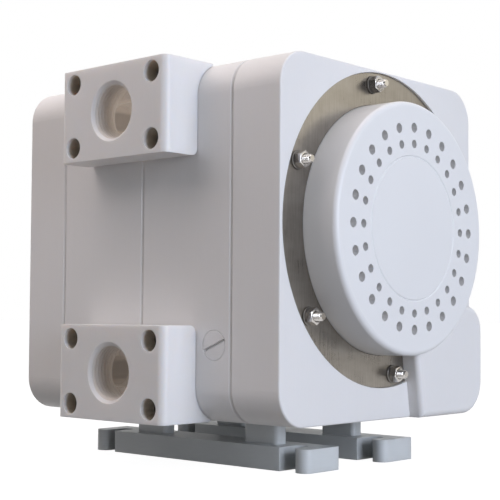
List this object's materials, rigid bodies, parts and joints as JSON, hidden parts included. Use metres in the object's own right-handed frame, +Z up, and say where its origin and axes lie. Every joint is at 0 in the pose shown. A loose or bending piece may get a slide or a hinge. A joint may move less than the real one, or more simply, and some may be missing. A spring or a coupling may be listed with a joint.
{
  "type": "air operated diaphragm pump",
  "caption": "Air operated double diaphragm pump with solid plastic chamber blocks, front port blocks, clamped covers, a perforated silencer cap and slotted foot rails.",
  "frame": {"origin": "on the floor, midway between the two foot rails and under the seam between the two chamber blocks", "axes": "+X along the shaft towards the silencer cap, +Z up, the ports face -Y"},
  "size_m": [0.2411, 0.2136, 0.2318],
  "materials": {
    "housing_plastic": "satin",
    "port_plastic": "satin",
    "plug_plastic": "satin",
    "foot_plastic": "translucent satin",
    "cap_plastic": "satin",
    "clamp_steel": "polished sheet",
    "fastener_steel": "bright",
    "washer_steel": "bright",
    "shaft_steel": "ground",
    "plate_plastic": "satin",
    "diaphragm_rubber": "satin",
    "gasket_rubber": "matte",
    "bush_plastic": "matte",
    "valve_plastic": "satin",
    "ball_plastic": "polished",
    "silencer_foam": "porous",
    "valve_aluminium": "machined",
    "spool_steel": "ground"
  },
  "bodies": {
    "housing": {"cap_disc": "cap_plastic", "column_plugs": "plug_plastic", "discharge_port_block": "port_plastic", "drain_plugs": "plug_plastic", "front_rail": "foot_plastic", "inlet_spacers": "valve_plastic", "left_chamber": "housing_plastic", "left_clamp_ring": "clamp_steel", "left_cover": "housing_plastic", "left_diaphragm": "diaphragm_rubber", "lower_cages": "valve_plastic", "port_gaskets": "gasket_rubber", "port_screws": "fastener_steel", "rail_screws": "fastener_steel", "rear_rail": "foot_plastic", "right_chamber": "housing_plastic", "right_clamp_ring": "clamp_steel", "right_cover": "housing_plastic", "right_diaphragm": "diaphragm_rubber", "shaft_bush": "bush_plastic", "shaft_seals": "gasket_rubber", "silencer_cap": "cap_plastic", "silencer_ring": "silencer_foam", "suction_port_block": "port_plastic", "tie_nuts": "fastener_steel", "tie_rods": "fastener_steel", "tie_washers": "washer_steel", "upper_cages": "valve_plastic", "valve_body": "valve_aluminium", "valve_end_caps": "valve_aluminium", "valve_screws": "fastener_steel", "valve_seats": "valve_plastic"},
    "shaft": {"shaft": "shaft_steel", "left_inner_plate": "plate_plastic", "right_inner_plate": "plate_plastic", "left_outer_plate": "plate_plastic", "right_outer_plate": "plate_plastic", "shaft_nuts": "fastener_steel"},
    "spool": {"spool": "spool_steel"},
    "left_suction_ball": {"left_suction_ball": "ball_plastic"},
    "right_suction_ball": {"right_suction_ball": "ball_plastic"},
    "left_discharge_ball": {"left_discharge_ball": "ball_plastic"},
    "right_discharge_ball": {"right_discharge_ball": "ball_plastic"}
  },
  "joints": [
    {"name": "shaft_slide", "type": "slide", "parent": "housing", "child": "shaft", "axis": [1, 0, 0], "range_m": [-0.006, 0.006], "deforming": ["left_diaphragm", "right_diaphragm"]},
    {"name": "spool_slide", "type": "slide", "parent": "housing", "child": "spool", "axis": [0, 1, 0], "range_m": [-0.004, 0.004]},
    {"name": "left_suction_ball_lift", "type": "slide", "parent": "housing", "child": "left_suction_ball", "axis": [0, 0, 1], "range_m": [0, 0.006]},
    {"name": "right_suction_ball_lift", "type": "slide", "parent": "housing", "child": "right_suction_ball", "axis": [0, 0, 1], "range_m": [0, 0.006]},
    {"name": "left_discharge_ball_lift", "type": "slide", "parent": "housing", "child": "left_discharge_ball", "axis": [0, 0, 1], "range_m": [0, 0.006]},
    {"name": "right_discharge_ball_lift", "type": "slide", "parent": "housing", "child": "right_discharge_ball", "axis": [0, 0, 1], "range_m": [0, 0.006]}
  ]
}
